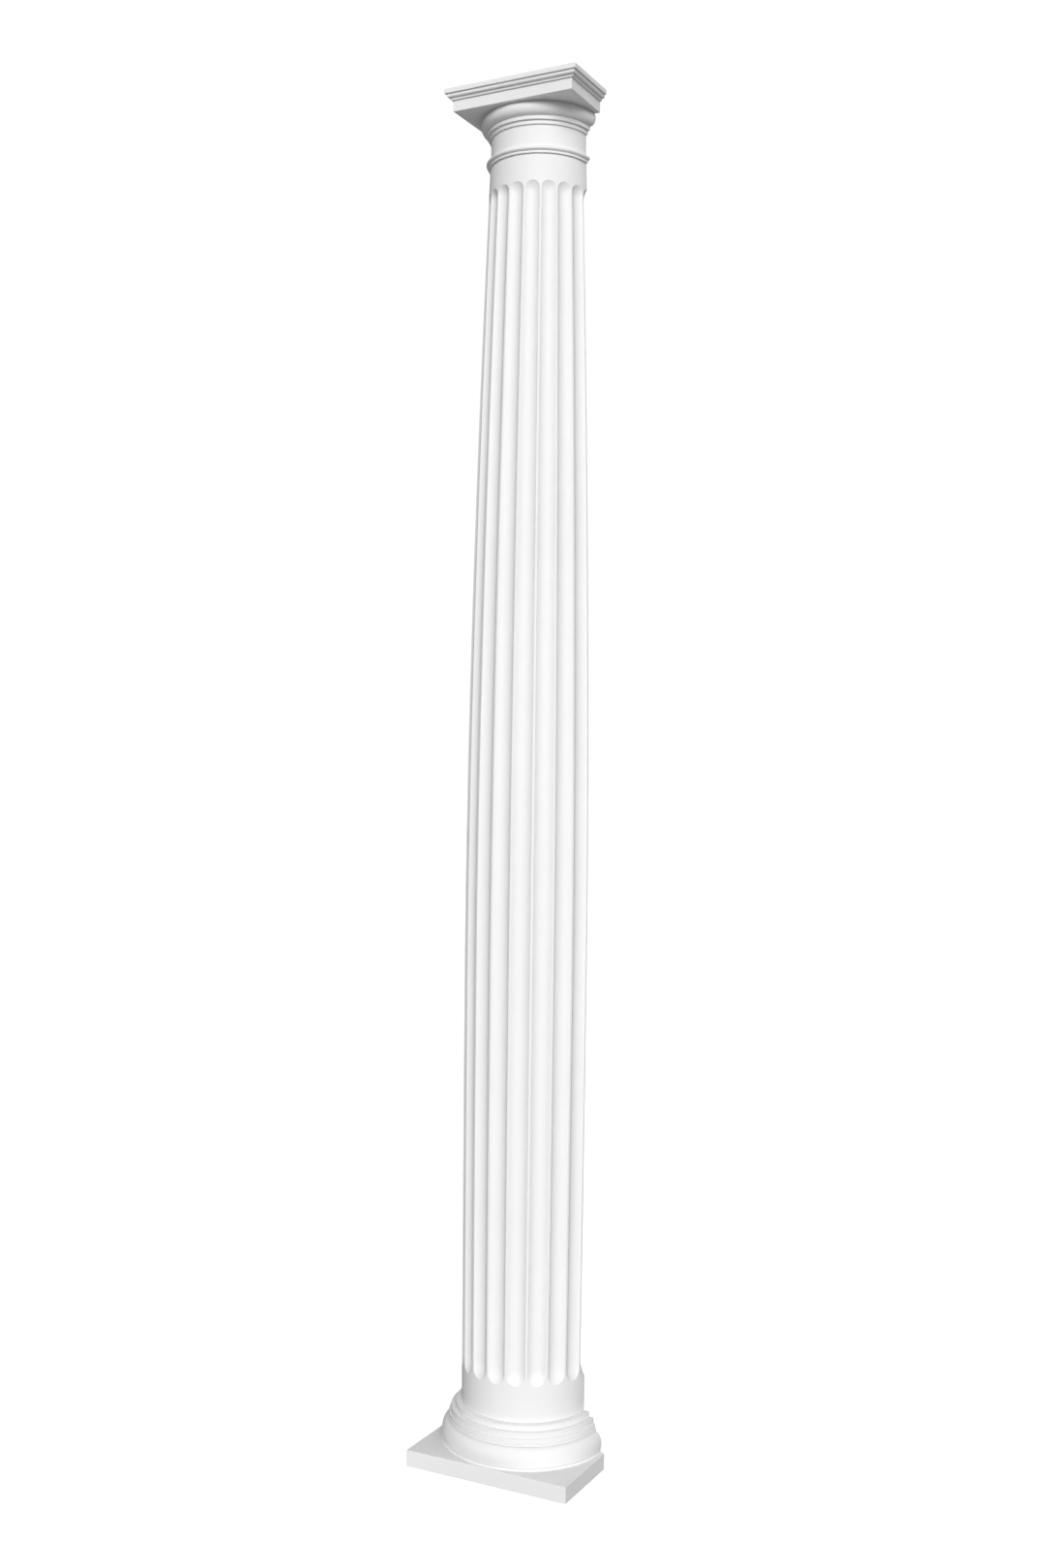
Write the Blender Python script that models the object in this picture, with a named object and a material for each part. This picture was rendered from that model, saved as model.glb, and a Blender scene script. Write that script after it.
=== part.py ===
"""Fluted half column: a square half plinth with its round base, a fluted shaft that swells a little
on its way up, and a capital with a square top. Each is one moulded piece with a flat back.
Metres, Z up, front towards -Y, back plane at +Y, the origin at the middle of the underside."""

import math

import bmesh
import bpy
from mathutils import Matrix, Vector

# How the three pieces meet, and how finely curves are cut
JOINT_GAP = 0.0003
ROUND_SEGMENTS = 72
WELD = 0.00002

# Plinth and base
PLINTH_WIDTH = 0.325
PLINTH_HEIGHT = 0.030
FOOT_FILLET_RADIUS = 0.1575
FOOT_FILLET_HEIGHT = 0.0036
FOOT_FILLET_EDGE = 0.0024
TORUS_CENTRE_RADIUS = 0.1430
TORUS_BULGE = 0.0138
TORUS_HALF_HEIGHT = 0.0218
TORUS_FROM = -37
TORUS_TO = 86
TORUS_STEPS = 10
LIP_GAP = 0.0012
RING_RADII = (0.1457, 0.1438, 0.1402, 0.1315)
RING_HEIGHTS = (0.0037, 0.0084, 0.0104, 0.0094)
RING_EDGES = (0.0007, 0.0013, 0.0014, 0.0017)
EDGE_STEPS = 2

# Shaft
SHAFT_LENGTH = 2.2912
SHAFT_FOOT_RADIUS = 0.1205
SHAFT_BELLY_RADIUS = 0.1248
SHAFT_TOP_RADIUS = 0.0938
BELLY_AT = 0.39
BELLY_LOWER_CURVE = 1.5
BELLY_UPPER_CURVE = 1.68

# Flutes
FLUTES_ROUND = 20
FILLET_SHARE = 1 / 9
FLUTE_DEPTH_SHARE = 0.28
FOOT_BAND = 0.066
TOP_BAND = 0.0485
FLUTE_STEPS = 6
FILLET_STEPS = 3
FLUTE_END_STEPS = 4
FLUTE_LENGTH_STEPS = 10

# Capital, heights above its own foot
BEAD_FILLET_RADIUS = 0.0972
BEAD_FILLET_HEIGHT = 0.0043
BEAD_CENTRE_RADIUS = 0.0950
BEAD_BULGE = 0.0062
BEAD_HALF_HEIGHT = 0.0041
BEAD_FROM = -65
BEAD_TO = 70
BEAD_STEPS = 7
NECK_RADIUS = 0.0927
NECK_FLARE_HEIGHT = 0.0065
NECK_FLARE_STEPS = 3
NECK_TOP = 0.0517
ANNULET_RADII = (0.0960, 0.1003)
ANNULET_HEIGHT = 0.0072
ECHINUS_BULGE = 0.0114
ECHINUS_HALF_HEIGHT = 0.0133
ECHINUS_TO = 42
ECHINUS_STEPS = 9
ABACUS_WIDTH = 0.240
ABACUS_HEIGHT = 0.0200
CROWN_STEP = 0.0035
CROWN_STEP_HEIGHT = 0.0042
CROWN_CURVE_FOOT = 0.0065
CROWN_CURVE_TOP = 0.0090
CROWN_CURVE_HEIGHT = 0.0030
CROWN_CURVE_STEPS = 4
CROWN_FACE_HEIGHT = 0.0035
CROWN_FILLET_HEIGHT = 0.0086
CROWN_WIDTH = 0.265

# How far the round body runs into the square one before they are joined
ROUND_RUN_IN = 0.006

# Sides that turn by more than this many degrees are shaded with a sharp edge between them
SHARP_ANGLE = 28

# Finish
PRIMER_COLOUR = (0.86, 0.86, 0.86, 1.0)
PRIMER_ROUGHNESS = 0.62

# Levels that follow from the sizes above
BACK_Y = PLINTH_WIDTH / 4
TORUS_FOOT = PLINTH_HEIGHT + FOOT_FILLET_HEIGHT
TORUS_MID = TORUS_FOOT - TORUS_HALF_HEIGHT * math.sin(math.radians(TORUS_FROM))
TORUS_TOP = TORUS_MID + TORUS_HALF_HEIGHT * math.sin(math.radians(TORUS_TO))
BASE_TOP = TORUS_TOP + LIP_GAP + sum(RING_HEIGHTS)
SHAFT_FOOT = BASE_TOP + JOINT_GAP
SHAFT_TOP = SHAFT_FOOT + SHAFT_LENGTH
CAPITAL_FOOT = SHAFT_TOP + JOINT_GAP
ECHINUS_FOOT = NECK_TOP + len(ANNULET_RADII) * ANNULET_HEIGHT
ECHINUS_MID = ECHINUS_FOOT + ECHINUS_HALF_HEIGHT
ABACUS_FOOT = ECHINUS_MID + ECHINUS_HALF_HEIGHT * math.sin(math.radians(ECHINUS_TO))
CROWN_FOOT = ABACUS_FOOT + ABACUS_HEIGHT
CROWN_CURVE_LEVEL = CROWN_FOOT + CROWN_STEP_HEIGHT
CROWN_FACE_FOOT = CROWN_CURVE_LEVEL + CROWN_CURVE_HEIGHT
CROWN_FILLET_FOOT = CROWN_FACE_FOOT + CROWN_FACE_HEIGHT
CAPITAL_HEIGHT = CROWN_FILLET_FOOT + CROWN_FILLET_HEIGHT


def clear_scene():
    for old in list(bpy.data.objects):
        bpy.data.objects.remove(old, do_unlink=True)


def primer(name):
    material = bpy.data.materials.new(name)
    material.use_nodes = True
    shader = material.node_tree.nodes["Principled BSDF"]
    shader.inputs["Base Color"].default_value = PRIMER_COLOUR
    shader.inputs["Roughness"].default_value = PRIMER_ROUGHNESS
    shader.inputs["Metallic"].default_value = 0.0
    return material


def arc(centre, size, start, end, steps):
    """Points (radius, height) on an ellipse from one angle to another, in degrees"""
    points = []
    for step in range(steps + 1):
        angle = math.radians(start + (end - start) * step / steps)
        points.append(
            (
                centre[0] + size[0] * math.cos(angle),
                centre[1] + size[1] * math.sin(angle),
            )
        )
    return points


def round_loop(radius, height):
    turn = 2 * math.pi / ROUND_SEGMENTS
    return [
        Vector((radius * math.cos(turn * k), radius * math.sin(turn * k), height))
        for k in range(ROUND_SEGMENTS)
    ]


def square_loop(half_width, height):
    corners = ((1, 1), (-1, 1), (-1, -1), (1, -1))
    return [Vector((x * half_width, y * half_width, height)) for x, y in corners]


def stacked_body(name, profile, loop):
    """A closed body from a profile that runs up its outer side, turned or square by its loop"""
    mesh = bpy.data.meshes.new(name)
    build = bmesh.new()
    levels = [[build.verts.new(point) for point in loop(*pair)] for pair in profile]
    for lower, upper in zip(levels, levels[1:]):
        for k, corner in enumerate(lower):
            after = (k + 1) % len(lower)
            build.faces.new((corner, lower[after], upper[after], upper[k]))
    build.faces.new(levels[0][::-1])
    build.faces.new(levels[-1])
    build.normal_update()
    build.to_mesh(mesh)
    build.free()
    body = bpy.data.objects.new(name, mesh)
    bpy.context.scene.collection.objects.link(body)
    return body


def make_current(body):
    bpy.ops.object.select_all(action="DESELECT")
    body.select_set(True)
    bpy.context.view_layer.objects.active = body


def joined(body, other):
    join = body.modifiers.new("join", "BOOLEAN")
    join.operation = "UNION"
    join.solver = "EXACT"
    join.object = other
    make_current(body)
    bpy.ops.object.modifier_apply(modifier=join.name)
    bpy.data.objects.remove(other, do_unlink=True)
    return body


def cut_flat_at_axis(body):
    """Takes away the half behind the axis and closes the flat back"""
    build = bmesh.new()
    build.from_mesh(body.data)
    whole = build.verts[:] + build.edges[:] + build.faces[:]
    bmesh.ops.bisect_plane(
        build,
        geom=whole,
        dist=WELD,
        plane_co=(0, 0, 0),
        plane_no=(0, 1, 0),
        clear_outer=True,
    )
    rim = [edge for edge in build.edges if edge.is_boundary]
    bmesh.ops.edgeloop_fill(build, edges=rim)
    bmesh.ops.recalc_face_normals(build, faces=build.faces[:])
    build.to_mesh(body.data)
    build.free()


def finish_piece(body, height, material):
    """Moves a piece built round the axis to its place and shades its round sides smooth"""
    body.data.transform(Matrix.Translation((0, BACK_Y, height)))
    body.data.materials.clear()
    body.data.materials.append(material)
    make_current(body)
    bpy.ops.object.shade_smooth()
    body.data.set_sharp_from_angle(angle=math.radians(SHARP_ANGLE))


def edge_round(radius, top, size):
    """The rounded upper edge of a ring"""
    return arc((radius - size, top - size), (size, size), 0, 90, EDGE_STEPS)


def base_profile():
    profile = [(FOOT_FILLET_RADIUS, PLINTH_HEIGHT - ROUND_RUN_IN)]
    profile += edge_round(FOOT_FILLET_RADIUS, TORUS_FOOT, FOOT_FILLET_EDGE)
    profile += arc(
        (TORUS_CENTRE_RADIUS, TORUS_MID),
        (TORUS_BULGE, TORUS_HALF_HEIGHT),
        TORUS_FROM,
        TORUS_TO,
        TORUS_STEPS,
    )
    foot = TORUS_TOP + LIP_GAP
    profile.append((profile[-1][0], foot))
    for radius, ring_height, edge in zip(RING_RADII, RING_HEIGHTS, RING_EDGES):
        profile.append((radius, foot))
        foot += ring_height
        profile += edge_round(radius, foot, edge)
    return profile


def build_base():
    plinth = stacked_body(
        "half_base",
        [(PLINTH_WIDTH / 2, 0), (PLINTH_WIDTH / 2, PLINTH_HEIGHT)],
        square_loop,
    )
    rings = stacked_body("base_rings", base_profile(), round_loop)
    body = joined(plinth, rings)
    cut_flat_at_axis(body)
    finish_piece(body, 0, primer("primer_base"))


def shaft_radius(share):
    """Radius of the plain shaft at a share of its length, with its belly below the middle"""
    if share < BELLY_AT:
        fall = ((BELLY_AT - share) / BELLY_AT) ** BELLY_LOWER_CURVE
        return SHAFT_BELLY_RADIUS - (SHAFT_BELLY_RADIUS - SHAFT_FOOT_RADIUS) * fall
    fall = ((share - BELLY_AT) / (1 - BELLY_AT)) ** BELLY_UPPER_CURVE
    return SHAFT_BELLY_RADIUS - (SHAFT_BELLY_RADIUS - SHAFT_TOP_RADIUS) * fall


def flute_half_width(radius):
    return radius * math.pi / FLUTES_ROUND * (1 - FILLET_SHARE)


def flute_depth(offset, half_width):
    """Depth of a flute of round section at a distance from its middle line"""
    depth = FLUTE_DEPTH_SHARE * 2 * half_width
    section = (half_width**2 + depth**2) / (2 * depth)
    reach = min(abs(offset), half_width)
    return math.sqrt(section**2 - reach**2) - (section - depth)


def shaft_rows():
    """Rows of the shaft from foot to top: height, and how far a flute is still open there"""
    tip_low = FOOT_BAND
    tip_high = SHAFT_LENGTH - TOP_BAND
    spring_low = tip_low + flute_half_width(shaft_radius(tip_low / SHAFT_LENGTH))
    spring_high = tip_high - flute_half_width(shaft_radius(tip_high / SHAFT_LENGTH))
    rows = [(0.0, 0.0)]
    for step in range(FLUTE_END_STEPS):
        angle = math.pi / 2 * step / FLUTE_END_STEPS
        rows.append(
            (spring_low - (spring_low - tip_low) * math.cos(angle), math.sin(angle))
        )
    for step in range(FLUTE_LENGTH_STEPS + 1):
        share = step / FLUTE_LENGTH_STEPS
        rows.append((spring_low + (spring_high - spring_low) * share, 1.0))
    for step in range(FLUTE_END_STEPS - 1, -1, -1):
        angle = math.pi / 2 * step / FLUTE_END_STEPS
        rows.append(
            (spring_high + (tip_high - spring_high) * math.cos(angle), math.sin(angle))
        )
    rows.append((SHAFT_LENGTH, 0.0))
    return rows


def column_places(opening):
    """Angles across the half from back to back, with the flute each belongs to"""
    pitch = 2 * math.pi / FLUTES_ROUND
    half_open = pitch / 2 * (1 - FILLET_SHARE) * opening
    places = []
    for flute in range(FLUTES_ROUND // 2 + 1):
        middle = -math.pi / 2 + pitch * flute
        for step in range(FLUTE_STEPS + 1):
            offset = half_open * (2 * step / FLUTE_STEPS - 1)
            places.append((middle + offset, offset))
        for step in range(1, FILLET_STEPS):
            share = step / FILLET_STEPS
            places.append((middle + half_open + (pitch - 2 * half_open) * share, None))
    first = FLUTE_STEPS // 2
    last = len(places) - first - FILLET_STEPS + 1
    return places[first:last]


def build_shaft():
    mesh = bpy.data.meshes.new("half_shaft")
    build = bmesh.new()
    levels = []
    for height, opening in shaft_rows():
        radius = shaft_radius(height / SHAFT_LENGTH)
        half_width = flute_half_width(radius)
        past_spring = half_width * math.sqrt(1 - opening**2)
        level = []
        for angle, offset in column_places(opening):
            depth = 0.0
            if offset is not None and opening > 0:
                depth = flute_depth(math.hypot(radius * offset, past_spring), half_width)
            reach = radius - depth
            point = (reach * math.sin(angle), -reach * math.cos(angle), height)
            level.append(build.verts.new(point))
        levels.append(level)
    for lower, upper in zip(levels, levels[1:]):
        for k in range(len(lower) - 1):
            build.faces.new((lower[k], lower[k + 1], upper[k + 1], upper[k]))
        build.faces.new((lower[-1], lower[0], upper[0], upper[-1]))
    build.faces.new(levels[0][::-1])
    build.faces.new(levels[-1])
    bmesh.ops.remove_doubles(build, verts=build.verts[:], dist=WELD)
    bmesh.ops.recalc_face_normals(build, faces=build.faces[:])
    build.to_mesh(mesh)
    build.free()
    body = bpy.data.objects.new("half_shaft", mesh)
    bpy.context.scene.collection.objects.link(body)
    finish_piece(body, SHAFT_FOOT, primer("primer_shaft"))


def capital_profile():
    bead_mid = BEAD_FILLET_HEIGHT - BEAD_HALF_HEIGHT * math.sin(math.radians(BEAD_FROM))
    profile = [(BEAD_FILLET_RADIUS, 0), (BEAD_FILLET_RADIUS, BEAD_FILLET_HEIGHT)]
    profile += arc(
        (BEAD_CENTRE_RADIUS, bead_mid),
        (BEAD_BULGE, BEAD_HALF_HEIGHT),
        BEAD_FROM,
        BEAD_TO,
        BEAD_STEPS,
    )
    bead_top_radius, bead_top = profile[-1]
    profile += arc(
        (bead_top_radius, bead_top + NECK_FLARE_HEIGHT),
        (NECK_RADIUS - bead_top_radius, -NECK_FLARE_HEIGHT),
        90,
        0,
        NECK_FLARE_STEPS,
    )[1:]
    foot = NECK_TOP
    inner = NECK_RADIUS
    for radius in ANNULET_RADII:
        profile.append((inner, foot))
        profile.append((radius, foot))
        foot += ANNULET_HEIGHT
        inner = radius
    profile += arc(
        (ANNULET_RADII[-1], ECHINUS_MID),
        (ECHINUS_BULGE, ECHINUS_HALF_HEIGHT),
        -90,
        ECHINUS_TO,
        ECHINUS_STEPS,
    )
    profile.append((profile[-1][0], ABACUS_FOOT + ROUND_RUN_IN))
    return profile


def abacus_profile():
    half = ABACUS_WIDTH / 2
    profile = [
        (half, ABACUS_FOOT),
        (half, CROWN_FOOT),
        (half + CROWN_STEP, CROWN_FOOT),
        (half + CROWN_STEP, CROWN_CURVE_LEVEL),
    ]
    profile += arc(
        (half + CROWN_CURVE_FOOT, CROWN_FACE_FOOT),
        (CROWN_CURVE_TOP - CROWN_CURVE_FOOT, -CROWN_CURVE_HEIGHT),
        90,
        0,
        CROWN_CURVE_STEPS,
    )
    profile.append((half + CROWN_CURVE_TOP, CROWN_FILLET_FOOT))
    profile.append((CROWN_WIDTH / 2, CROWN_FILLET_FOOT))
    profile.append((CROWN_WIDTH / 2, CAPITAL_HEIGHT))
    return profile


def build_capital():
    abacus = stacked_body("half_capital", abacus_profile(), square_loop)
    rings = stacked_body("capital_rings", capital_profile(), round_loop)
    body = joined(abacus, rings)
    cut_flat_at_axis(body)
    finish_piece(body, CAPITAL_FOOT, primer("primer_capital"))


clear_scene()
build_base()
build_shaft()
build_capital()
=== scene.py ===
"""Finished looks of the fluted half column: its three mouldings again with their fine surface, in
matte white primer, on a pale floor in soft frontal light. Metres, Z up, front towards -Y."""

import math

import bmesh
import bpy
from mathutils import Euler, Matrix, Vector


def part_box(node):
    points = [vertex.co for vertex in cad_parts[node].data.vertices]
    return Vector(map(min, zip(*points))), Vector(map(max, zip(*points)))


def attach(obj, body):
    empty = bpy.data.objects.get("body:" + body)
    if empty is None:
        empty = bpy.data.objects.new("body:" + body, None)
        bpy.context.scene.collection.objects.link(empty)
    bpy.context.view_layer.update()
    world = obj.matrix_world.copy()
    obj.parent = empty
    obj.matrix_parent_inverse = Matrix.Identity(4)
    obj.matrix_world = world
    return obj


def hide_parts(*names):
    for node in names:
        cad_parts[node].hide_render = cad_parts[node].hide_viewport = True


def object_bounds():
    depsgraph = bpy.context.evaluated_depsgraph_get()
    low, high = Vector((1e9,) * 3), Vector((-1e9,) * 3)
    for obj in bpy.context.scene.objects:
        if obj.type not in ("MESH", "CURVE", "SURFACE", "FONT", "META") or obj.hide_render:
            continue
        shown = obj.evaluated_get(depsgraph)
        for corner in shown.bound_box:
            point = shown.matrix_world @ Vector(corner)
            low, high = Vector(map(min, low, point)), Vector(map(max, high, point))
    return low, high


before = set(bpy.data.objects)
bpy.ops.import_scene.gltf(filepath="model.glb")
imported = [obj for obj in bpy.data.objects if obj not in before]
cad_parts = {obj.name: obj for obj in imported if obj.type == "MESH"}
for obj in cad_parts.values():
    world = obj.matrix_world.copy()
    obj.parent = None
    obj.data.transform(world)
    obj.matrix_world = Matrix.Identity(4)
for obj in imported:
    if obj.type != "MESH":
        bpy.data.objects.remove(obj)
cad_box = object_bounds()

BASE_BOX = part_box("half_base")
SHAFT_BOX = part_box("half_shaft")
CAPITAL_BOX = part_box("half_capital")
BACK_Y = BASE_BOX[1].y

# How finely the curves are made
ROUND_SEGMENTS = 288
TORUS_STEPS = 30
BEAD_STEPS = 24
NECK_FLARE_STEPS = 10
ECHINUS_STEPS = 28
CROWN_CURVE_STEPS = 12
CORNER_STEPS = 4
PLINTH_EDGE_STEPS = 4
RING_EDGE_STEPS = 5
ANNULET_EDGE_STEPS = 4
CROWN_EDGE_STEPS = 3
SHARP_ANGLE = 32
WELD = 0.000005

# Upright corners of the square members
CORNER_ROUND = 0.0008

# How far the round members reach into the square ones
ROUND_RUN_IN = 0.006

# Distance of the extra points beside a hollow corner
CREASE_REACH = 0.0009

# Base
PLINTH_WIDTH = BASE_BOX[1].x - BASE_BOX[0].x
PLINTH_HEIGHT = 0.030
PLINTH_EDGE = 0.0009
FOOT_FILLET_RADIUS = 0.1575
FOOT_FILLET_HEIGHT = 0.0036
FOOT_FILLET_EDGE = 0.0024
TORUS_CENTRE_RADIUS = 0.1430
TORUS_BULGE = 0.0138
TORUS_HALF_HEIGHT = 0.0218
TORUS_FROM = -37
TORUS_TO = 86
LIP_GAP = 0.0012
RING_RADII = (0.1457, 0.1438, 0.1402, 0.1315)
RING_HEIGHTS = (0.0037, 0.0084, 0.0104, 0.0094)
RING_EDGES = (0.0007, 0.0013, 0.0014, 0.0017)

# Shaft
SHAFT_LENGTH = SHAFT_BOX[1].z - SHAFT_BOX[0].z
SHAFT_FOOT_RADIUS = 0.1205
SHAFT_BELLY_RADIUS = 0.1248
SHAFT_TOP_RADIUS = 0.0938
BELLY_AT = 0.39
BELLY_LOWER_CURVE = 1.5
BELLY_UPPER_CURVE = 1.68
SHAFT_END_CHAMFER = 0.0008

# Flutes
FLUTES_ROUND = 20
FILLET_SHARE = 1 / 9
FLUTE_DEPTH_SHARE = 0.28
FOOT_BAND = 0.066
TOP_BAND = 0.0485
ARRIS_ROUND = 0.0004
FLUTE_STEPS = 18
FILLET_STEPS = 5
FLUTE_END_STEPS = 16
FLUTE_RUN_OUT = 0.6
FLUTE_RUN_STEPS = 5
FLUTE_LENGTH_STEPS = 48
BAND_STEPS = 6

# Capital, heights above its own foot
BEAD_FILLET_RADIUS = 0.0972
BEAD_FILLET_HEIGHT = 0.0043
BEAD_CENTRE_RADIUS = 0.0950
BEAD_BULGE = 0.0062
BEAD_HALF_HEIGHT = 0.0041
BEAD_FROM = -65
BEAD_TO = 70
NECK_RADIUS = 0.0927
NECK_FLARE_HEIGHT = 0.0065
NECK_TOP = 0.0517
ANNULET_RADII = (0.0960, 0.1003)
ANNULET_HEIGHT = 0.0072
ANNULET_EDGE = 0.0006
ECHINUS_BULGE = 0.0114
ECHINUS_HALF_HEIGHT = 0.0133
ECHINUS_TO = 42
ABACUS_WIDTH = 0.240
ABACUS_HEIGHT = 0.0200
ABACUS_EDGE = 0.0006
CROWN_STEP = 0.0035
CROWN_STEP_HEIGHT = 0.0042
CROWN_CURVE_FOOT = 0.0065
CROWN_CURVE_TOP = 0.0090
CROWN_CURVE_HEIGHT = 0.0030
CROWN_FILLET_HEIGHT = 0.0086
CROWN_WIDTH = CAPITAL_BOX[1].x - CAPITAL_BOX[0].x
CAPITAL_HEIGHT = CAPITAL_BOX[1].z - CAPITAL_BOX[0].z

ECHINUS_FOOT = NECK_TOP + len(ANNULET_RADII) * ANNULET_HEIGHT
ECHINUS_MID = ECHINUS_FOOT + ECHINUS_HALF_HEIGHT
ABACUS_FOOT = ECHINUS_MID + ECHINUS_HALF_HEIGHT * math.sin(math.radians(ECHINUS_TO))

# Camera, from the photo's corners and outlines
PHOTO_WIDTH = 1080
PHOTO_HEIGHT = 1620
CAMERA_FOCAL_PIXELS = 1698
CAMERA_AZIMUTH = 27.0
CAMERA_DISTANCE = 3.0705
CAMERA_HEIGHT = 1.293
CAMERA_TURN = 0.379
CAMERA_DOWN = 0.729
CAMERA_ROLL = 0.691

# Light
KEY_STRENGTH = 2.60
KEY_AZIMUTH = 29
KEY_ELEVATION = 22
KEY_SPREAD = 28
AMBIENT = 0.31
AMBIENT_TOP = 0.54
SURROUND_SEEN = 1.05

# Primer tones
PRIMER = (0.86, 0.86, 0.86, 1.0)
PRIMER_SOFT = (0.84, 0.84, 0.84, 1.0)
# Lighter tone in specks on convex edges: partly wear, partly a painted highlight
PRIMER_WORN_AND_HIGHLIT = (0.875, 0.875, 0.87, 1.0)
# Grey mixed into hollows and creases: painted shade
CREVICE_PAINTED_SHADE = (0.67, 0.67, 0.67, 1.0)
RAW_FOAM = (0.80, 0.785, 0.735, 1.0)

# Primer surface: noise scales per metre, depths in metres, and the ranges that are read from them
CLOUD_SCALE = 5.0
CLOUD_RANGE = (0.35, 0.65)
# Pointiness range and share of the painted shade in hollows and creases
PAINTED_SHADE_RANGE = (0.48, 0.44)
PAINTED_SHADE_SHARE = 0.7
# Pointiness range of the convex edges that are worn and painted lighter
EDGE_RANGE = (0.53, 0.60)
SPECK_SCALE = 60.0
SPECK_RANGE = (0.35, 0.65)
BACK_RANGE = (0.9, 0.98)
PEEL_SCALE = 170.0
PEEL_DEPTH = 0.0006
PEEL_STRENGTH = 0.05
GRAIN_SCALE = 1100.0
GRAIN_DEPTH = 0.00025
GRAIN_STRENGTH = 0.16
CELL_SCALE = 420.0
CELL_DEPTH = 0.0015
CELL_STRENGTH = 0.5
SHEEN_SCALE = 24.0
SHEEN_RANGE = (0.3, 0.7)
PRIMER_ROUGHNESS = (0.56, 0.68)
PRIMER_SPECULAR = 0.35

# Floor
FLOOR_REACH = 60.0
FLOOR_SQUARES = 12
FLOOR_GAP = 0.0003
FLOOR_TONE = (0.93, 0.93, 0.93, 1.0)
FLOOR_TONE_PALE = (0.96, 0.96, 0.96, 1.0)
FLOOR_CLOUD_SCALE = 1.5
FLOOR_ROUGHNESS = 0.9
FLOOR_GLOW = 0.62
FLOOR_GRAIN_SCALE = 90.0
FLOOR_GRAIN_DEPTH = 0.0004
FLOOR_GRAIN_STRENGTH = 0.1


def arc(centre, size, start, end, steps):
    """Points (radius, height) on an ellipse from one angle to another, in degrees"""
    points = []
    for step in range(steps + 1):
        angle = math.radians(start + (end - start) * step / steps)
        across = centre[0] + size[0] * math.cos(angle)
        points.append((across, centre[1] + size[1] * math.sin(angle)))
    return points


def round_loop(radius, height):
    turn = 2 * math.pi / ROUND_SEGMENTS
    return [
        Vector((radius * math.cos(turn * k), radius * math.sin(turn * k), height))
        for k in range(ROUND_SEGMENTS)
    ]


def square_loop(half_width, height):
    """A square outline with slightly rounded corners"""
    corner = CORNER_ROUND
    points = []
    for quarter in range(4):
        for step in range(CORNER_STEPS + 1):
            angle = math.pi / 2 * (quarter + step / CORNER_STEPS)
            middle_x = (half_width - corner) * (1 if quarter in (0, 3) else -1)
            middle_y = (half_width - corner) * (1 if quarter in (0, 1) else -1)
            x = middle_x + corner * math.cos(angle)
            y = middle_y + corner * math.sin(angle)
            points.append(Vector((x, y, height)))
    return points


def stacked_body(name, profile, loop):
    """A closed body from a profile that runs up its outer side, turned or square by its loop"""
    mesh = bpy.data.meshes.new(name)
    build = bmesh.new()
    levels = [[build.verts.new(point) for point in loop(*pair)] for pair in profile]
    for lower, upper in zip(levels, levels[1:]):
        for k, corner in enumerate(lower):
            after = (k + 1) % len(lower)
            build.faces.new((corner, lower[after], upper[after], upper[k]))
    build.faces.new(levels[0][::-1])
    build.faces.new(levels[-1])
    build.normal_update()
    build.to_mesh(mesh)
    build.free()
    body = bpy.data.objects.new(name, mesh)
    bpy.context.scene.collection.objects.link(body)
    return body


def make_current(body):
    bpy.ops.object.select_all(action="DESELECT")
    body.select_set(True)
    bpy.context.view_layer.objects.active = body


def joined(body, other):
    join = body.modifiers.new("join", "BOOLEAN")
    join.operation = "UNION"
    join.solver = "EXACT"
    join.object = other
    make_current(body)
    bpy.ops.object.modifier_apply(modifier=join.name)
    bpy.data.objects.remove(other, do_unlink=True)
    return body


def cut_flat_at_axis(body):
    """Takes away the half behind the axis and closes the flat back"""
    build = bmesh.new()
    build.from_mesh(body.data)
    bmesh.ops.bisect_plane(
        build,
        geom=build.verts[:] + build.edges[:] + build.faces[:],
        dist=WELD,
        plane_co=(0, 0, 0),
        plane_no=(0, 1, 0),
        clear_outer=True,
    )
    rim = [edge for edge in build.edges if edge.is_boundary]
    bmesh.ops.edgeloop_fill(build, edges=rim)
    bmesh.ops.recalc_face_normals(build, faces=build.faces[:])
    build.to_mesh(body.data)
    build.free()


def finish_piece(body, node, material):
    """Moves a piece built round the axis to its node's place and lets it stand for that node"""
    body.data.transform(Matrix.Translation((0, BACK_Y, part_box(node)[0].z)))
    body.data.materials.clear()
    body.data.materials.append(material)
    make_current(body)
    bpy.ops.object.shade_smooth()
    body.data.set_sharp_from_angle(angle=math.radians(SHARP_ANGLE))
    even = body.modifiers.new("even", "WEIGHTED_NORMAL")
    even.keep_sharp = True
    bpy.ops.object.modifier_apply(modifier=even.name)
    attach(body, "root")
    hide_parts(node)


def edge_round(radius, top, size, steps):
    """The rounded upper edge of a ring or slab"""
    return arc((radius - size, top - size), (size, size), 0, 90, steps)


# Base

def plinth_profile():
    half = PLINTH_WIDTH / 2
    edge = PLINTH_EDGE
    profile = arc((half - edge, edge), (edge, edge), -90, 0, PLINTH_EDGE_STEPS)
    profile += edge_round(half, PLINTH_HEIGHT, edge, PLINTH_EDGE_STEPS)
    return profile


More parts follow.
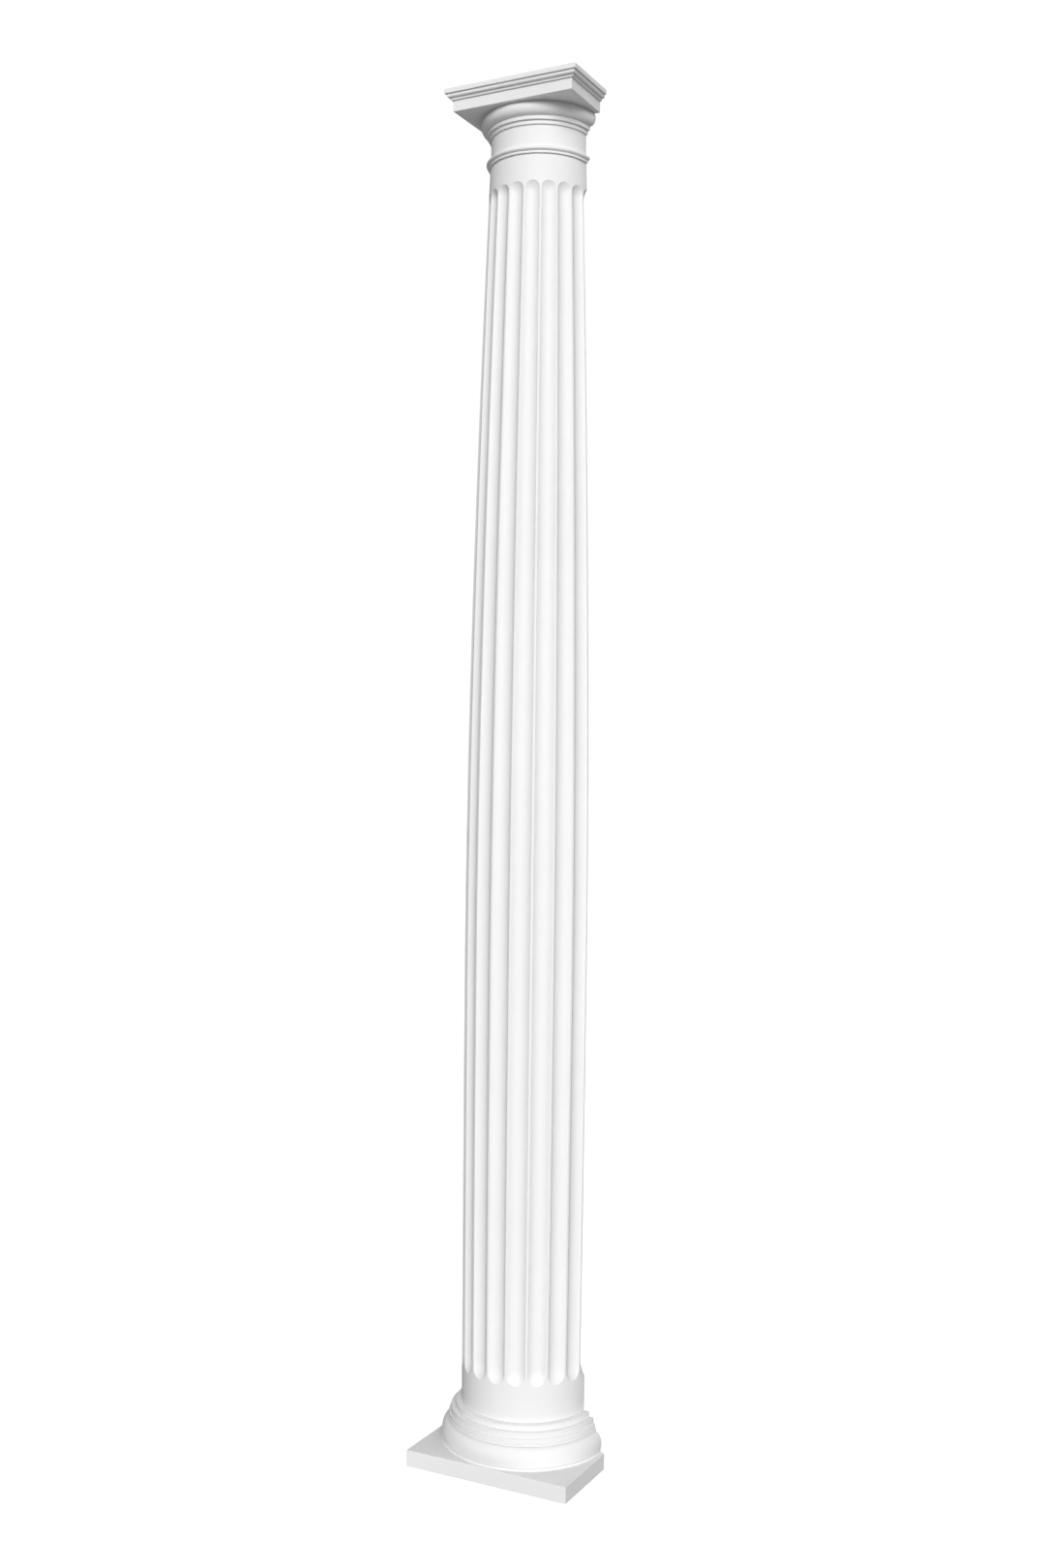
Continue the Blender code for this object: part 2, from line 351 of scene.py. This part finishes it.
def base_profile():
    torus_foot = PLINTH_HEIGHT + FOOT_FILLET_HEIGHT
    torus_mid = torus_foot - TORUS_HALF_HEIGHT * math.sin(math.radians(TORUS_FROM))
    profile = [(FOOT_FILLET_RADIUS, PLINTH_HEIGHT - ROUND_RUN_IN)]
    profile += edge_round(FOOT_FILLET_RADIUS, torus_foot, FOOT_FILLET_EDGE, RING_EDGE_STEPS)
    profile += arc(
        (TORUS_CENTRE_RADIUS, torus_mid),
        (TORUS_BULGE, TORUS_HALF_HEIGHT),
        TORUS_FROM,
        TORUS_TO,
        TORUS_STEPS,
    )
    foot = profile[-1][1] + LIP_GAP
    profile.append((profile[-1][0], foot))
    for radius, ring_height, edge in zip(RING_RADII, RING_HEIGHTS, RING_EDGES):
        if radius < profile[-1][0] - CREASE_REACH:
            profile.append((radius + CREASE_REACH, foot))
        profile.append((radius, foot))
        profile.append((radius, foot + CREASE_REACH))
        foot += ring_height
        profile += edge_round(radius, foot, edge, RING_EDGE_STEPS)
    return profile


def build_base(material):
    plinth = stacked_body("base_moulding", plinth_profile(), square_loop)
    rings = stacked_body("base_rings", base_profile(), round_loop)
    body = joined(plinth, rings)
    cut_flat_at_axis(body)
    finish_piece(body, "half_base", material)


# Shaft

def shaft_radius(share):
    """Radius of the plain shaft at a share of its length, with its belly below the middle"""
    if share < BELLY_AT:
        fall = ((BELLY_AT - share) / BELLY_AT) ** BELLY_LOWER_CURVE
        return SHAFT_BELLY_RADIUS - (SHAFT_BELLY_RADIUS - SHAFT_FOOT_RADIUS) * fall
    fall = ((share - BELLY_AT) / (1 - BELLY_AT)) ** BELLY_UPPER_CURVE
    return SHAFT_BELLY_RADIUS - (SHAFT_BELLY_RADIUS - SHAFT_TOP_RADIUS) * fall


def flute_half_width(radius):
    return radius * math.pi / FLUTES_ROUND * (1 - FILLET_SHARE)


def flute_depth(distance, half_width):
    """Depth of a flute of round section, with its arris rounded, at a distance from its middle"""
    depth = FLUTE_DEPTH_SHARE * 2 * half_width
    section = (half_width**2 + depth**2) / (2 * depth)
    inside = half_width - abs(distance)
    if inside <= -ARRIS_ROUND:
        return 0.0
    if inside < ARRIS_ROUND:
        reach = half_width - ARRIS_ROUND
        full = math.sqrt(section**2 - reach**2) - (section - depth)
        return full * ((inside + ARRIS_ROUND) / (2 * ARRIS_ROUND)) ** 2
    return math.sqrt(section**2 - distance**2) - (section - depth)


def flute_end(tip, reach):
    """Rows of a flute's end from its tip to its full depth, where a negative reach leads down"""
    rows = []
    whole = reach * (1 + FLUTE_RUN_OUT)
    for step in range(FLUTE_END_STEPS):
        angle = math.pi / 2 * step / FLUTE_END_STEPS
        from_tip = reach * (1 - math.cos(angle))
        rows.append((tip + from_tip, math.sin(angle), 1 - from_tip / whole))
    for step in range(FLUTE_RUN_STEPS + 1):
        from_tip = reach * (1 + FLUTE_RUN_OUT * step / FLUTE_RUN_STEPS)
        rows.append((tip + from_tip, 1.0, 1 - from_tip / whole))
    return rows


def shaft_rows():
    """Rows of the shaft from foot to top: height, how wide a flute is open, how far it ran out"""
    tip_low = FOOT_BAND - ARRIS_ROUND
    tip_high = SHAFT_LENGTH - TOP_BAND + ARRIS_ROUND
    reach_low = flute_half_width(shaft_radius(tip_low / SHAFT_LENGTH)) + ARRIS_ROUND
    reach_high = flute_half_width(shaft_radius(tip_high / SHAFT_LENGTH)) + ARRIS_ROUND
    chamfer = SHAFT_END_CHAMFER
    rows = [(0.0, 0.0, 1.0)]
    for step in range(BAND_STEPS):
        rows.append((chamfer + (tip_low - chamfer) * step / BAND_STEPS, 0.0, 1.0))
    rows += flute_end(tip_low, reach_low)
    upper_end = flute_end(tip_high, -reach_high)[::-1]
    full_low = rows[-1][0]
    full_high = upper_end[0][0]
    for step in range(1, FLUTE_LENGTH_STEPS):
        share = step / FLUTE_LENGTH_STEPS
        rows.append((full_low + (full_high - full_low) * share, 1.0, 0.0))
    rows += upper_end
    for step in range(1, BAND_STEPS + 1):
        share = step / BAND_STEPS
        rows.append((tip_high + (SHAFT_LENGTH - chamfer - tip_high) * share, 0.0, 1.0))
    rows.append((SHAFT_LENGTH, 0.0, 1.0))
    return rows


def flute_offsets(half_width):
    """Places across a flute as shares of its reach, crowded where the arris is rounded"""
    reach = half_width + ARRIS_ROUND
    inner = half_width - ARRIS_ROUND
    middle = [inner / reach * (2 * step / FLUTE_STEPS - 1) for step in range(FLUTE_STEPS + 1)]
    edge = [(half_width + ARRIS_ROUND * step / 2) / reach for step in (-1, 0, 1, 2)]
    return [-place for place in edge[::-1]] + middle + edge


def shaft_level(build, height, opening, run_out):
    radius = shaft_radius(height / SHAFT_LENGTH)
    half_width = flute_half_width(radius)
    reach = half_width + ARRIS_ROUND
    pitch = 2 * math.pi / FLUTES_ROUND
    offsets = flute_offsets(half_width)
    open_angle = reach / radius * opening
    plain = radius
    if height <= 0 or height >= SHAFT_LENGTH:
        plain = radius - SHAFT_END_CHAMFER
    places = []
    for flute in range(FLUTES_ROUND // 2 + 1):
        middle = -math.pi / 2 + pitch * flute
        for offset in offsets:
            depth = flute_depth(reach * offset, half_width) * (1 - run_out**2)
            places.append((middle + open_angle * offset, plain - depth))
        gap = pitch - 2 * open_angle
        for step in range(1, FILLET_STEPS):
            places.append((middle + open_angle + gap * step / FILLET_STEPS, plain))
    first = len(offsets) // 2
    last = len(places) - first - FILLET_STEPS + 1
    return [
        build.verts.new((reach_out * math.sin(angle), -reach_out * math.cos(angle), height))
        for angle, reach_out in places[first:last]
    ]


def build_shaft(material):
    mesh = bpy.data.meshes.new("shaft_moulding")
    build = bmesh.new()
    levels = [shaft_level(build, *row) for row in shaft_rows()]
    for lower, upper in zip(levels, levels[1:]):
        for k in range(len(lower) - 1):
            build.faces.new((lower[k], lower[k + 1], upper[k + 1], upper[k]))
        build.faces.new((lower[-1], lower[0], upper[0], upper[-1]))
    build.faces.new(levels[0][::-1])
    build.faces.new(levels[-1])
    bmesh.ops.remove_doubles(build, verts=build.verts[:], dist=WELD)
    bmesh.ops.recalc_face_normals(build, faces=build.faces[:])
    build.to_mesh(mesh)
    build.free()
    body = bpy.data.objects.new("shaft_moulding", mesh)
    bpy.context.scene.collection.objects.link(body)
    finish_piece(body, "half_shaft", material)


# Capital

def crease(inner, foot):
    """A hollow corner under a ring, with points beside it that keep its darker tone narrow"""
    return [(inner, foot - CREASE_REACH), (inner, foot), (inner + CREASE_REACH, foot)]


def capital_profile():
    bead_mid = BEAD_FILLET_HEIGHT - BEAD_HALF_HEIGHT * math.sin(math.radians(BEAD_FROM))
    profile = [(BEAD_FILLET_RADIUS, 0), (BEAD_FILLET_RADIUS, BEAD_FILLET_HEIGHT)]
    profile += arc(
        (BEAD_CENTRE_RADIUS, bead_mid),
        (BEAD_BULGE, BEAD_HALF_HEIGHT),
        BEAD_FROM,
        BEAD_TO,
        BEAD_STEPS,
    )
    bead_top_radius, bead_top = profile[-1]
    profile += arc(
        (bead_top_radius, bead_top + NECK_FLARE_HEIGHT),
        (NECK_RADIUS - bead_top_radius, -NECK_FLARE_HEIGHT),
        90,
        0,
        NECK_FLARE_STEPS,
    )[1:]
    neck_foot = profile[-1][1]
    profile.append((NECK_RADIUS, (neck_foot + NECK_TOP) / 2))
    foot = NECK_TOP
    inner = NECK_RADIUS
    edge = ANNULET_EDGE
    for radius in ANNULET_RADII:
        profile += crease(inner, foot)
        profile += arc((radius - edge, foot + edge), (edge, edge), -90, 0, ANNULET_EDGE_STEPS)
        foot += ANNULET_HEIGHT
        inner = radius
    profile.append((inner, foot - CREASE_REACH))
    profile += arc(
        (ANNULET_RADII[-1], ECHINUS_MID),
        (ECHINUS_BULGE, ECHINUS_HALF_HEIGHT),
        -90,
        ECHINUS_TO,
        ECHINUS_STEPS,
    )
    profile.append((profile[-1][0], ABACUS_FOOT + ROUND_RUN_IN))
    return profile


def abacus_profile():
    half = ABACUS_WIDTH / 2
    crown = CROWN_WIDTH / 2
    edge = ABACUS_EDGE
    steps = CROWN_EDGE_STEPS
    step_foot = ABACUS_FOOT + ABACUS_HEIGHT
    curve_foot = step_foot + CROWN_STEP_HEIGHT
    curve_top = CAPITAL_HEIGHT - CROWN_FILLET_HEIGHT
    profile = arc((half - edge, ABACUS_FOOT + edge), (edge, edge), -90, 0, steps)
    profile += crease(half, step_foot)
    profile += arc((half + CROWN_STEP - edge, step_foot + edge), (edge, edge), -90, 0, steps)
    profile += crease(half + CROWN_STEP, curve_foot)
    profile += arc(
        (half + CROWN_CURVE_FOOT, curve_foot + CROWN_CURVE_HEIGHT),
        (CROWN_CURVE_TOP - CROWN_CURVE_FOOT, -CROWN_CURVE_HEIGHT),
        90,
        0,
        CROWN_CURVE_STEPS,
    )
    profile += crease(half + CROWN_CURVE_TOP, curve_top)
    profile += arc((crown - edge, curve_top + edge), (edge, edge), -90, 0, steps)
    profile += edge_round(crown, CAPITAL_HEIGHT, edge, steps)
    return profile


def build_capital(material):
    abacus = stacked_body("capital_moulding", abacus_profile(), square_loop)
    rings = stacked_body("capital_rings", capital_profile(), round_loop)
    body = joined(abacus, rings)
    cut_flat_at_axis(body)
    finish_piece(body, "half_capital", material)


# Materials

class Nodes:
    """Short names for adding and joining nodes"""

    def __init__(self, material):
        self.tree = material.node_tree
        self.shader = self.tree.nodes["Principled BSDF"]

    def add(self, kind, **values):
        node = self.tree.nodes.new(kind)
        for name, value in values.items():
            if name in node.inputs:
                node.inputs[name].default_value = value
            else:
                setattr(node, name, value)
        return node

    def link(self, source, target):
        self.tree.links.new(source, target)

    def noise(self, where, scale, detail=3.0, roughness=0.5):
        node = self.add("ShaderNodeTexNoise")
        node.inputs["Scale"].default_value = scale
        node.inputs["Detail"].default_value = detail
        node.inputs["Roughness"].default_value = roughness
        self.link(where, node.inputs["Vector"])
        return node.outputs["Fac"]

    def ranged(self, value, low, high, to_low, to_high):
        node = self.add("ShaderNodeMapRange")
        node.inputs["From Min"].default_value = low
        node.inputs["From Max"].default_value = high
        node.inputs["To Min"].default_value = to_low
        node.inputs["To Max"].default_value = to_high
        self.link(value, node.inputs["Value"])
        return node.outputs["Result"]

    def mixed(self, share, one, two):
        node = self.add("ShaderNodeMix", data_type="RGBA")
        for source, name in ((share, "Factor"), (one, "A"), (two, "B")):
            socket = [s for s in node.inputs if s.name == name and s.enabled][0]
            if isinstance(source, tuple):
                socket.default_value = source
            else:
                self.link(source, socket)
        return [s for s in node.outputs if s.enabled][0]

    def bumped(self, height, distance, strength, normal=None):
        node = self.add("ShaderNodeBump")
        node.inputs["Distance"].default_value = distance
        node.inputs["Strength"].default_value = strength
        self.link(height, node.inputs["Height"])
        if normal is not None:
            self.link(normal, node.inputs["Normal"])
        return node.outputs["Normal"]


def primer_material():
    """Matte white primer over rigid foam: sprayed skin in front, a rougher trimmed back, painted
    shade in the hollows, and wear with a painted highlight on the edges
    """
    material = bpy.data.materials.new("white_primer")
    material.use_nodes = True
    nodes = Nodes(material)
    place = nodes.add("ShaderNodeTexCoord").outputs["Object"]
    shape = nodes.add("ShaderNodeNewGeometry")

    cloud = nodes.noise(place, CLOUD_SCALE, 4.0, 0.55)
    tone = nodes.mixed(nodes.ranged(cloud, *CLOUD_RANGE, 0.0, 1.0), PRIMER, PRIMER_SOFT)
    # Painted shade: grey mixed into hollows and creases, read from pointiness
    hollow = nodes.ranged(shape.outputs["Pointiness"], *PAINTED_SHADE_RANGE, 0.0, PAINTED_SHADE_SHARE)
    tone = nodes.mixed(hollow, tone, CREVICE_PAINTED_SHADE)
    # Lighter specks along convex edges: partly wear, partly a painted edge highlight
    speck = nodes.noise(place, SPECK_SCALE, 5.0, 0.7)
    edge = nodes.ranged(shape.outputs["Pointiness"], *EDGE_RANGE, 0.0, 1.0)
    worn_and_highlit = nodes.add("ShaderNodeMath", operation="MULTIPLY")
    nodes.link(edge, worn_and_highlit.inputs[0])
    nodes.link(nodes.ranged(speck, *SPECK_RANGE, 0.0, 1.0), worn_and_highlit.inputs[1])
    tone = nodes.mixed(worn_and_highlit.outputs[0], tone, PRIMER_WORN_AND_HIGHLIT)

    across = nodes.add("ShaderNodeSeparateXYZ")
    nodes.link(shape.outputs["Normal"], across.inputs[0])
    back = nodes.ranged(across.outputs["Y"], *BACK_RANGE, 0.0, 1.0)
    tone = nodes.mixed(back, tone, RAW_FOAM)
    nodes.link(tone, nodes.shader.inputs["Base Color"])

    peel = nodes.noise(place, PEEL_SCALE, 2.0, 0.5)
    grain = nodes.noise(place, GRAIN_SCALE, 2.0, 0.6)
    normal = nodes.bumped(peel, PEEL_DEPTH, PEEL_STRENGTH)
    normal = nodes.bumped(grain, GRAIN_DEPTH, GRAIN_STRENGTH, normal)
    cells = nodes.noise(place, CELL_SCALE, 6.0, 0.75)
    rough_back = nodes.add("ShaderNodeMath", operation="MULTIPLY")
    nodes.link(cells, rough_back.inputs[0])
    nodes.link(back, rough_back.inputs[1])
    normal = nodes.bumped(rough_back.outputs[0], CELL_DEPTH, CELL_STRENGTH, normal)
    nodes.link(normal, nodes.shader.inputs["Normal"])

    sheen = nodes.ranged(nodes.noise(place, SHEEN_SCALE), *SHEEN_RANGE, *PRIMER_ROUGHNESS)
    nodes.link(sheen, nodes.shader.inputs["Roughness"])
    nodes.shader.inputs["Metallic"].default_value = 0.0
    nodes.shader.inputs["Specular IOR Level"].default_value = PRIMER_SPECULAR
    return material


def floor_material():
    material = bpy.data.materials.new("studio_floor")
    material.use_nodes = True
    nodes = Nodes(material)
    place = nodes.add("ShaderNodeTexCoord").outputs["Object"]
    cloud = nodes.noise(place, FLOOR_CLOUD_SCALE)
    tone = nodes.mixed(cloud, FLOOR_TONE, FLOOR_TONE_PALE)
    nodes.link(tone, nodes.shader.inputs["Base Color"])
    nodes.shader.inputs["Roughness"].default_value = FLOOR_ROUGHNESS
    nodes.shader.inputs["Specular IOR Level"].default_value = 0.0
    nodes.shader.inputs["Emission Color"].default_value = (1.0, 1.0, 1.0, 1.0)
    nodes.shader.inputs["Emission Strength"].default_value = FLOOR_GLOW
    grain = nodes.noise(place, FLOOR_GRAIN_SCALE)
    normal = nodes.bumped(grain, FLOOR_GRAIN_DEPTH, FLOOR_GRAIN_STRENGTH)
    nodes.link(normal, nodes.shader.inputs["Normal"])
    return material


# Surroundings

def build_floor():
    """A pale floor that ends far away"""
    mesh = bpy.data.meshes.new("floor")
    build = bmesh.new()
    squares = FLOOR_SQUARES
    bmesh.ops.create_grid(build, x_segments=squares, y_segments=squares, size=FLOOR_REACH)
    build.to_mesh(mesh)
    build.free()
    floor = bpy.data.objects.new("floor", mesh)
    floor.location = (0, 0, cad_box[0].z - FLOOR_GAP)
    bpy.context.scene.collection.objects.link(floor)
    mesh.materials.append(floor_material())
    floor.visible_diffuse = False
    floor.visible_glossy = False
    floor.visible_shadow = False


def build_light():
    """One soft key, and a surround that the camera sees as plain white"""
    lamp = bpy.data.lights.new("key", "SUN")
    lamp.energy = KEY_STRENGTH
    lamp.angle = math.radians(KEY_SPREAD)
    key = bpy.data.objects.new("key", lamp)
    key.rotation_euler = Euler(
        (math.radians(90 - KEY_ELEVATION), 0, math.radians(KEY_AZIMUTH))
    )
    bpy.context.scene.collection.objects.link(key)

    world = bpy.data.worlds.new("studio")
    bpy.context.scene.world = world
    world.use_nodes = True
    tree = world.node_tree
    tree.nodes.clear()
    out = tree.nodes.new("ShaderNodeOutputWorld")
    place = tree.nodes.new("ShaderNodeTexCoord")
    split = tree.nodes.new("ShaderNodeSeparateXYZ")
    level = tree.nodes.new("ShaderNodeMapRange")
    level.inputs["From Min"].default_value = 0.0
    level.inputs["From Max"].default_value = 1.0
    level.inputs["To Min"].default_value = AMBIENT
    level.inputs["To Max"].default_value = AMBIENT_TOP
    soft = tree.nodes.new("ShaderNodeBackground")
    white = tree.nodes.new("ShaderNodeBackground")
    white.inputs["Strength"].default_value = SURROUND_SEEN
    white.inputs["Color"].default_value = (1.0, 1.0, 1.0, 1.0)
    seen = tree.nodes.new("ShaderNodeLightPath")
    mix = tree.nodes.new("ShaderNodeMixShader")
    tree.links.new(place.outputs["Generated"], split.inputs[0])
    tree.links.new(split.outputs["Z"], level.inputs["Value"])
    tree.links.new(level.outputs["Result"], soft.inputs["Strength"])
    tree.links.new(seen.outputs["Is Camera Ray"], mix.inputs[0])
    tree.links.new(soft.outputs[0], mix.inputs[1])
    tree.links.new(white.outputs[0], mix.inputs[2])
    tree.links.new(mix.outputs[0], out.inputs["Surface"])


def build_camera():
    """The photo's view: turned a little off the axis, nearly level, and rolled by under a degree"""
    azimuth = math.radians(CAMERA_AZIMUTH)
    data = bpy.data.cameras.new("camera")
    data.sensor_width = 36.0
    data.lens = data.sensor_width * CAMERA_FOCAL_PIXELS / max(PHOTO_WIDTH, PHOTO_HEIGHT)
    camera = bpy.data.objects.new("camera", data)
    camera.location = (
        CAMERA_DISTANCE * math.sin(azimuth),
        BACK_Y - CAMERA_DISTANCE * math.cos(azimuth),
        CAMERA_HEIGHT,
    )
    turn = Matrix.Rotation(math.radians(CAMERA_AZIMUTH + CAMERA_TURN), 4, "Z")
    tilt = Matrix.Rotation(math.radians(90 - CAMERA_DOWN), 4, "X")
    roll = Matrix.Rotation(math.radians(CAMERA_ROLL), 4, "Z")
    camera.rotation_euler = (turn @ tilt @ roll).to_euler()
    bpy.context.scene.collection.objects.link(camera)
    bpy.context.scene.camera = camera


build_camera()
build_light()
build_floor()
white_primer = primer_material()
build_base(white_primer)
build_shaft(white_primer)
build_capital(white_primer)
bpy.context.scene.view_settings.view_transform = "Standard"
